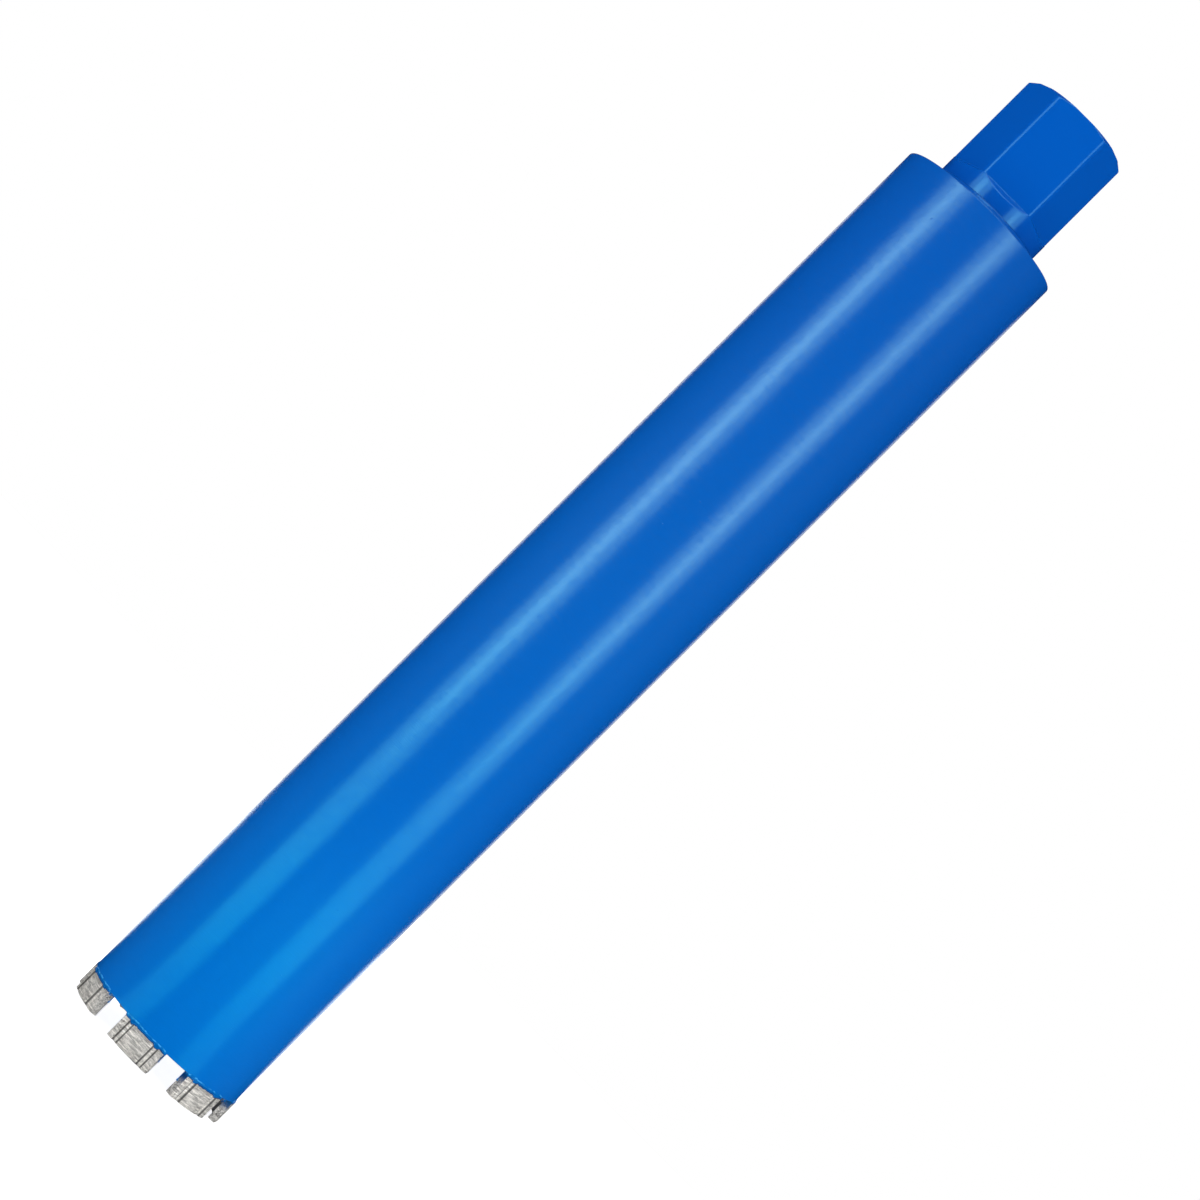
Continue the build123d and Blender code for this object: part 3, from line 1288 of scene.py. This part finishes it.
    def grit(
        self, add: Adder, colour: Source, grain: Node, along: Source, world: Source
    ) -> tuple[Node, Node]:
        """Dark pores and bright crystals in the metal, more of them where its ends crumbled. The pores' dark
        colour is painted shade and the crystals' near-white is a painted glint.

        Args:
            add: The function that adds a node to the material.
            colour: The metal's colour.
            grain: The fine grain, which tears the outlines.
            along: The place along the segment.
            world: The position on the bit.

        Returns:
            The nodes that give the new colour and the pores.
        """
        tear = (self.tear * MM,) * 3
        torn = add(VECTOR_MATH, MULTIPLY_ADD, grain.outputs["Color"], tear, world)
        distance = add(MATH, {"operation": "ABSOLUTE"}, along)
        crumbled = add(MAP_RANGE, SMOOTH, distance, 6.5, 9.0, 0.0, 0.55)
        pores, crystals = (
            add(CELLS, {}, torn, 1 / (size * MM)) for size in (self.pore_size, self.crystal_size)
        )
        pore_kind, crystal_kind = (
            add("ShaderNodeSeparateColor", {}, cells.outputs["Color"]) for cells in (pores, crystals)
        )
        pore_odds = add(MATH, ADD, pore_kind, crumbled)
        pore_reach = add(MAP_RANGE, {}, pore_odds, 0.6, 1.2, 0.0, 0.34)
        pore_here = add(MATH, SUBTRACT, pore_reach, pores)
        pore = add(MAP_RANGE, SMOOTH, pore_here, -0.02, 0.08, 0.0, 0.9)
        crystal_odds = add(MATH, MULTIPLY_ADD, crumbled, 0.7, crystal_kind.outputs["Green"])
        crystal_reach = add(MAP_RANGE, {}, crystal_odds, 0.76, 1.3, 0.0, 0.42)
        crystal_here = add(MATH, SUBTRACT, crystal_reach, crystals)
        crystal = add(MAP_RANGE, {}, crystal_here, 0.0, 0.03)
        # Painted shade in the pores and painted glints on the crystals.
        pored = add(MIX, RGBA, pore, colour, linear(self.pore_shade_colour))
        return add(MIX, RGBA, crystal, pored, linear(self.crystal_glint_colour)), pore

    def overspray(
        self, add: Adder, at: Node, side: Node, dent: Source, world: Source
    ) -> tuple[Node, Node]:
        """Where paint covers the segment: a ragged line on its faces, a soft fade on its ends.

        Args:
            add: The function that adds a node to the material.
            at: The separated place on the segment.
            side: The separated facing.
            dent: How deep in a water groove the place lies.
            world: The position on the bit.

        Returns:
            The nodes that give the share of paint, and the height that decides it.
        """
        on_an_end = side.outputs["Y"]
        ragged = add(NOISE, {}, world, 1 / (self.rag_size * MM), 3.0)
        sway = add(MAP_RANGE, {}, ragged, NOISE_LOW, NOISE_HIGH, -1.0, 1.0)
        swing = add(MAP_RANGE, {}, on_an_end, 0.0, 1.0, 0.2, 0.6)
        run = add(MATH, MULTIPLY_ADD, dent, 0.8, at.outputs["Z"])
        level = add(MATH, MULTIPLY_ADD, sway, swing, run)
        on_face = add(MAP_RANGE, SMOOTH, level, self.paint_level - 0.1, self.paint_level + 0.1)
        drift = add(NOISE, FOUR_D, world, 2.0, 1 / (self.drift_size * MM), 0.0)
        drifted = add(MAP_RANGE, {}, drift, NOISE_LOW, NOISE_HIGH, -self.drift_reach, self.drift_reach)
        end_level = add(MATH, ADD, level, drifted)
        on_end = add(MAP_RANGE, SMOOTH, end_level, self.paint_level - 4.0, self.paint_level + 0.4)
        return add(MIX, FLOAT, on_an_end, on_face, on_end), level


@dataclass(frozen=True)
class PooledEnamel:
    """The same blue enamel where it has run together over the brazed joints.

    It looks thick and wet. Up-facing slopes of its beads are painted lighter blue in spots, as painted
    glints.
    """

    name: str = "pooled blue enamel"
    colour: str = "#0168bb"
    crest_glint_colour: str = "#3fa6ee"
    spot_size: float = 1.6
    sheen: str = "#5ff0f5"
    roughness: float = 0.12

    def material(self) -> Material:
        """Build the thick enamel with painted glints on its crests.

        Returns:
            The material.
        """
        material, add = new_material(self.name)
        place = add("ShaderNodeTexCoord").outputs["Object"]
        up = add(SPLIT, {}, add("ShaderNodeNewGeometry").outputs["Normal"]).outputs["Z"]
        # Painted glints: up-facing slopes of the beads turn lighter blue in spots.
        crest = add(MAP_RANGE, SMOOTH, up, 0.12, 0.5)
        spots = add(NOISE, {}, place, 1 / (self.spot_size * MM), 1.0)
        spot = add(MAP_RANGE, SMOOTH, spots, 0.42, 0.6)
        light = add(MATH, MULTIPLY, crest, spot)
        colour = add(MIX, RGBA, light, linear(self.colour), linear(self.crest_glint_colour))
        add(OUTPUT, {}, add(
            "ShaderNodeBsdfPrincipled", {}, colour,
            Roughness=self.roughness, Specular_IOR_Level=0.8, Specular_Tint=linear(self.sheen),
        ))
        return material


@dataclass(frozen=True)
class View:
    """The camera, a long lens level with the bit's lower half and rolled so that the bit leans.

    Lengths are in millimetres and angles in degrees.
    """

    lens: float = 101.715
    distance: float = 1239.87
    height: float = 213.55
    pitch: float = 0.9097
    roll: float = 45.0818

    def build(self) -> None:
        """Place the camera on the -Y side of the bit."""
        pitch = math.radians(self.pitch)
        roll = math.radians(self.roll)
        forward = Vector((0, math.cos(pitch), math.sin(pitch)))
        level_up = Vector((0, -math.sin(pitch), math.cos(pitch)))
        side = Vector((1, 0, 0))
        right = side * math.cos(roll) + level_up * math.sin(roll)
        up = level_up * math.cos(roll) - side * math.sin(roll)
        data = bpy.data.cameras.new("camera")
        data.lens = self.lens
        data.sensor_width = 36.0
        data.clip_start = 0.05
        camera = placed("camera", data)
        turn = Matrix((right, up, -forward)).transposed().to_4x4()
        camera.matrix_world = Matrix.Translation((0, -self.distance * MM, self.height * MM)) @ turn
        bpy.context.scene.camera = camera
        LOG.info("camera: %.1f mm lens", self.lens)


@dataclass(frozen=True)
class SoftBox:
    """A rectangular lamp that faces a point on the bit's axis. Sizes are in metres, angles in degrees."""

    azimuth: float
    distance: float
    middle: float
    width: float
    height: float
    radiance: float
    aim: float | None = None
    mirrored: bool = True
    lights_matt: bool = True

    def build(self, name: str) -> None:
        """Hang the lamp, hidden from the camera.

        Args:
            name: The lamp's name.
        """
        data = bpy.data.lights.new(name, "AREA")
        data.shape = "RECTANGLE"
        data.size = self.width
        data.size_y = self.height
        data.energy = WATTS_PER_RADIANCE * self.radiance * self.width * self.height
        lamp = placed(name, data)
        angle = math.radians(self.azimuth)
        place = Vector((math.sin(angle), -math.cos(angle), 0)) * self.distance
        place.z = self.middle
        target = Vector((0, 0, self.middle if self.aim is None else self.aim))
        turn = (place - target).to_track_quat("Z", "Y").to_matrix().to_4x4()
        lamp.matrix_world = Matrix.Translation(place) @ turn
        lamp.visible_camera = False
        lamp.visible_glossy = self.mirrored
        lamp.visible_diffuse = self.lights_matt


def shown_share(add: Adder) -> Source:
    """One where the camera or a reflection sees a thing, and nought where it only lights matt surfaces.

    Args:
        add: The function that adds a node to the tree.

    Returns:
        The share.
    """
    path = add("ShaderNodeLightPath")
    share = path.outputs["Is Camera Ray"]
    for ray in ("Is Glossy Ray", "Is Transmission Ray"):
        share = add(MATH, MAXIMUM, share, path.outputs[ray])
    return share


@dataclass(frozen=True)
class Studio:
    """Tall soft boxes in a white room with a pale floor, and black flags that keep the paint's colour up.

    Sizes are in metres and angles in degrees.
    """

    room_level: float = 0.38
    floor_size: float = 1.2
    floor_drop: float = 0.0003
    window_radius: float = 0.0335
    flag_distance: float = 0.85
    flag_height: float = 1.3
    flag_reach: float = 170.0
    flag_steps: int = 48
    back_height: float = 0.57
    card_sectors: tuple[tuple[float, float], ...] = ((-148.0, -58.0), (-29.0, 26.0), (53.0, 148.0))
    grey_sectors: tuple[tuple[float, float], ...] = ((-58.0, -29.0), (26.0, 53.0))
    grey_glow: float = 0.72
    roof_glow: float = 0.16

    def build(self) -> None:
        """Light the bit, stand the flags and lay the floor."""
        lamps = {
            "left_box": SoftBox(-43, 0.36, 0.36, 0.21, 0.74, 1.17),
            "left_core": SoftBox(-43, 0.355, 0.32, 0.065, 0.36, 2.3, lights_matt=False),
            "right_box": SoftBox(39, 0.36, 0.36, 0.19, 0.74, 1.14),
            "right_core": SoftBox(39, 0.355, 0.32, 0.055, 0.36, 1.85, lights_matt=False),
            "back_left_strip": SoftBox(-160, 0.6, 0.26, 0.1, 0.5, 0.9),
            "back_right_strip": SoftBox(160, 0.6, 0.26, 0.1, 0.5, 0.9),
            "back_left_sky": SoftBox(-145, 0.75, 1.1, 0.5, 0.5, 1.5, 0.24, mirrored=False),
            "back_right_sky": SoftBox(145, 0.75, 1.1, 0.5, 0.5, 1.5, 0.24, mirrored=False),
            "left_fill": SoftBox(-85, 0.6, 0.2, 0.2, 0.4, 0.7, mirrored=False),
            "high_glint": SoftBox(-22, 0.45, 0.78, 0.36, 0.2, 1.6, 0.01, lights_matt=False),
            "overhead": SoftBox(0, 0.02, 1.25, 0.6, 0.6, 1.3, 0.4),
            "under_fill": SoftBox(-20, 0.25, -0.45, 0.5, 0.5, 1.0, 0.1),
            "crown_fill": SoftBox(5, 0.3, 0.04, 0.2, 0.06, 2.6, 0.0, mirrored=False),
            "crown_side_fill": SoftBox(70, 0.3, 0.04, 0.2, 0.06, 2.4, 0.0, mirrored=False),
            "right_fill": SoftBox(85, 0.6, 0.32, 0.2, 0.6, 0.6, mirrored=False),
        }
        for name, box in lamps.items():
            box.build(name)
        self.light_room()
        self.stand_flags()
        self.lay_floor()

    def arc(self, start: float, end: float, height: float) -> list[Point]:
        """Points at even steps on the circle that the flags stand on.

        Args:
            start: The first point's azimuth.
            end: The last point's azimuth.
            height: Their height.

        Returns:
            The points.
        """
        steps, reach = self.flag_steps, self.flag_distance
        turns = [math.radians(start + (end - start) * step / steps) for step in range(steps + 1)]
        return [(math.sin(turn) * reach, -math.cos(turn) * reach, height) for turn in turns]

    def stand_flags(self) -> None:
        """Curve a black flag round the front and sides and lay a card, where only reflections see them."""
        vertices: list[Point] = []
        faces: list[tuple[int, ...]] = []
        reach = self.flag_reach
        for start, end, bottom in ((-reach, reach, 0.0), (reach, 360 - reach, self.back_height)):
            first = len(vertices)
            low, high = self.arc(start, end, bottom), self.arc(start, end, self.flag_height)
            vertices += [point for pair in zip(low, high) for point in pair]
            faces += [(near, near + 2, near + 3, near + 1) for near in range(first, len(vertices) - 2, 2)]
        black, roof, grey = range(3)
        surfaces = [black] * len(faces)
        card_level = -self.floor_drop / 2
        sheets = [(*sector, card_level, black) for sector in self.card_sectors]
        sheets += [(*sector, card_level, grey) for sector in self.grey_sectors]
        sheets += [(start, start + 180.0, self.flag_height, roof) for start in (-180.0, 0.0)]
        for start, end, height, surface in sheets:
            first = len(vertices)
            vertices += [(0.0, 0.0, height), *self.arc(start, end, height)]
            faces.append(tuple(range(first, len(vertices))))
            surfaces.append(surface)
        mesh = bpy.data.meshes.new("flag")
        mesh.from_pydata(vertices, [], faces)
        for name, kind, inputs in (
            ("black velvet", "ShaderNodeBsdfDiffuse", {"Color": linear("#0c0c0c")}),
            ("glowing roof", "ShaderNodeEmission", {"Strength": self.roof_glow}),
            ("grey card", "ShaderNodeEmission", {"Strength": self.grey_glow}),
        ):
            material, add = new_material(name)
            add(OUTPUT, {}, add(kind, **inputs))
            mesh.materials.append(material)
        mesh.polygons.foreach_set("material_index", surfaces)
        flag = placed("flag", mesh)
        for ray in ("camera", "diffuse", "shadow", "transmission"):
            setattr(flag, f"visible_{ray}", False)

    def light_room(self) -> None:
        """Show white to the camera and to reflections, and light matt surfaces gently."""
        world = bpy.data.worlds.new("white room")
        world.use_nodes = True
        world.node_tree.nodes.clear()
        add = partial(add_node, world.node_tree)
        level = add(MAP_RANGE, {}, shown_share(add), 0.0, 1.0, self.room_level, 1.0)
        add("ShaderNodeOutputWorld", {}, add("ShaderNodeBackground", {}, WHITE, level))
        bpy.context.scene.world = world

    def lay_floor(self) -> None:
        """Lay a pale floor that keeps the bit's shadow, with a window that lets light up into the tube."""
        mesh = bpy.data.meshes.new("floor")
        reach, level = self.floor_size, -self.floor_drop
        corners = ((-reach, -reach), (reach, -reach), (reach, reach), (-reach, reach))
        mesh.from_pydata([(*corner, level) for corner in corners], [], [(0, 1, 2, 3)])
        floor = placed("floor", mesh)
        material, add = new_material("pale floor")
        place = add("ShaderNodeTexCoord").outputs["Object"]
        distance = add(VECTOR_MATH, {"operation": "LENGTH"}, place)
        shown = shown_share(add)
        glow = add(MAP_RANGE, {}, distance, 0.08, 0.4, 0.93, 1.0)
        light = add("ShaderNodeEmission", {}, WHITE, add(MATH, MULTIPLY, glow, shown))
        paper = add("ShaderNodeBsdfDiffuse", {}, linear("#eeeeee"))
        top_side = add("ShaderNodeAddShader", {}, paper, light)
        clear = add("ShaderNodeBsdfTransparent")
        within = add(MATH, {"operation": "LESS_THAN"}, distance, self.window_radius)
        window = add(MATH, {**SUBTRACT, "use_clamp": True}, within, shown)
        below = add("ShaderNodeNewGeometry").outputs["Backfacing"]
        open_share = add(MATH, MAXIMUM, below, window)
        add(OUTPUT, {}, add("ShaderNodeMixShader", {}, open_share, top_side, clear))
        mesh.materials.append(material)


def main() -> None:
    """Build the camera, the studio and every part of the bit, in order."""
    logging.basicConfig(level=logging.INFO, format="%(message)s")
    bpy.context.scene.view_settings.view_transform = "Standard"
    View().build()
    Studio().build()
    enamel = SprayedEnamel().material()
    Barrel().build(enamel)
    hub_enamel = SprayedEnamel(
        name="sprayed blue enamel on the hub", hub_colour="#0060cd", roughness=0.15, relief=0.01,
        sheen_red=0.26, sheen_green=0.85, streak_level=0.85,
    )
    Hub().build(hub_enamel.material(), TurnedSteel().material())
    Crown().build(SinteredMatrix().material(), PooledEnamel().material())


if __name__ == "__main__":
    main()
